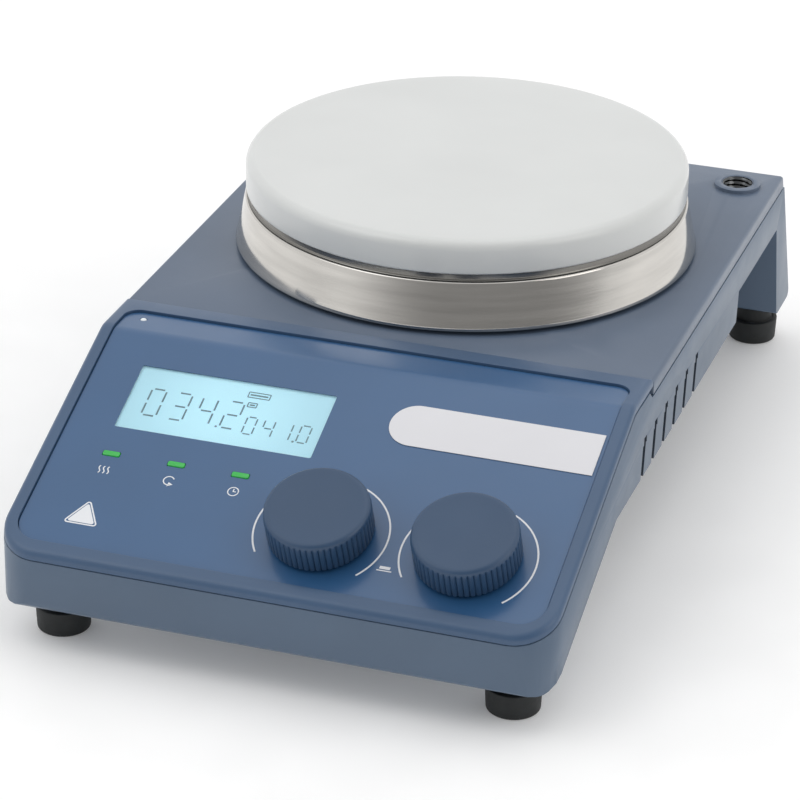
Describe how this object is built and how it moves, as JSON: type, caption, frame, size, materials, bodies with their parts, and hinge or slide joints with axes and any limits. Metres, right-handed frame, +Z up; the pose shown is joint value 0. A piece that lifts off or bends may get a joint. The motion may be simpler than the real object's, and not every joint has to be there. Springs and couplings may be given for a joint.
{
  "type": "hotplate magnetic stirrer",
  "caption": "Bench-top hotplate magnetic stirrer with a round white plate on a steel skirt, a sloping control panel with display and knobs, and a rod socket at the rear.",
  "frame": {"origin": "on the bench, under the middle of the object's outer box", "axes": "+X to the user's right, +Y to the back (connectors), +Z up; the control panel faces -Y and up"},
  "size_m": [0.159, 0.276, 0.0896],
  "materials": {
    "side_paint": "satin blue-grey paint",
    "top_paint": "satin blue-grey paint",
    "bezel_plastic": "fine texture, slate blue",
    "overlay_film": "smooth printed film",
    "label_film": "plain light grey, no print",
    "clear_window": "clear",
    "lcd_face": "backlit pale cyan",
    "circuit_board": "green solder mask",
    "green_lamp": "translucent green",
    "knob_plastic": "moulded blue-grey",
    "plain_steel": "plain",
    "polished_steel": "polished",
    "plain_aluminium": "plain",
    "white_ceramic": "satin white glass ceramic",
    "heater_mica": "potted heater",
    "insulation": "pressed fibre",
    "winding": "varnished copper wire",
    "black_plastic": "moulded",
    "foot_rubber": "matte",
    "switch_red": "moulded red",
    "brass": "turned"
  },
  "bodies": {
    "stirrer_body": {"lower_housing": "side_paint", "top_cover": "top_paint", "control_bezel": "bezel_plastic", "panel_overlay": "overlay_film", "label_strip": "label_film", "lcd_window": "clear_window", "lcd_module": "lcd_face", "display_board": "circuit_board", "heat_light_pipe": "green_lamp", "stir_light_pipe": "green_lamp", "timer_light_pipe": "green_lamp", "power_light_pipe": "green_lamp", "heat_encoder_body": "plain_aluminium", "stir_encoder_body": "plain_aluminium", "hotplate_disc": "white_ceramic", "plate_skirt": "polished_steel", "heating_element": "heater_mica", "insulation_disc": "insulation", "heat_shield": "plain_aluminium", "plate_sensor": "plain_steel", "plate_standoff_1": "plain_steel", "plate_standoff_2": "plain_steel", "plate_standoff_3": "plain_steel", "motor_bracket": "plain_aluminium", "motor_can": "plain_steel", "motor_stator": "winding", "upper_bearing": "plain_steel", "lower_bearing": "plain_steel", "main_board": "circuit_board", "power_transformer": "winding", "heat_sink": "plain_aluminium", "filter_capacitor": "black_plastic", "bottom_cover": "black_plastic", "rod_socket": "plain_steel", "foot_front_left": "foot_rubber", "foot_front_right": "foot_rubber", "foot_rear_left": "foot_rubber", "foot_rear_right": "foot_rubber", "foot_screw_front_left": "plain_steel", "foot_screw_front_right": "plain_steel", "foot_screw_rear_left": "plain_steel", "foot_screw_rear_right": "plain_steel", "power_inlet": "black_plastic", "rocker_frame": "black_plastic", "data_port": "plain_steel", "sensor_socket": "plain_steel"},
    "heat_plunger": {"heat_push_plunger": "black_plastic"},
    "heat_control": {"heat_knob": "knob_plastic", "heat_encoder_shaft": "plain_steel"},
    "stir_plunger": {"stir_push_plunger": "black_plastic"},
    "stir_control": {"stir_knob": "knob_plastic", "stir_encoder_shaft": "plain_steel"},
    "magnet_rotor": {"drive_shaft": "plain_steel", "motor_rotor": "plain_steel", "magnet_carrier": "plain_aluminium", "magnet_south": "plain_steel", "magnet_north": "plain_steel"},
    "rocker": {"power_rocker": "switch_red"},
    "fuse_holder": {"fuse_drawer": "black_plastic"},
    "adjuster": {"safety_adjuster": "brass"}
  },
  "joints": [
    {"name": "heat_push", "type": "slide", "parent": "stirrer_body", "child": "heat_plunger", "axis": [0, 0.3714, -0.9285], "range_m": [0, 0.0005], "stiffness_N_per_m": 3000, "springref_m": -0.001},
    {"name": "heat_turn", "type": "hinge", "parent": "heat_plunger", "child": "heat_control", "pos_m": [0.0081, -0.11504, 0.03925], "axis": [0, -0.3714, 0.9285], "continuous": true},
    {"name": "stir_push", "type": "slide", "parent": "stirrer_body", "child": "stir_plunger", "axis": [0, 0.3714, -0.9285], "range_m": [0, 0.0005], "stiffness_N_per_m": 3000, "springref_m": -0.001},
    {"name": "stir_turn", "type": "hinge", "parent": "stir_plunger", "child": "stir_control", "pos_m": [0.0497, -0.11504, 0.03925], "axis": [0, -0.3714, 0.9285], "continuous": true},
    {"name": "magnet_spin", "type": "hinge", "parent": "stirrer_body", "child": "magnet_rotor", "pos_m": [0, 0.0369, 0.0646], "axis": [0, 0, 1], "continuous": true},
    {"name": "rocker_tilt", "type": "hinge", "parent": "stirrer_body", "child": "rocker", "pos_m": [-0.008, 0.12901, 0.036], "axis": [1, 0, 0], "range_deg": [0, 20]},
    {"name": "fuse_drawer_slide", "type": "slide", "parent": "stirrer_body", "child": "fuse_holder", "axis": [0, 0.9318, 0.363], "range_m": [0, 0.018]},
    {"name": "safety_turn", "type": "hinge", "parent": "stirrer_body", "child": "adjuster", "pos_m": [0.042, 0.13373, 0.02389], "axis": [0, 0.9318, 0.363], "range_deg": [-135, 135]}
  ]
}
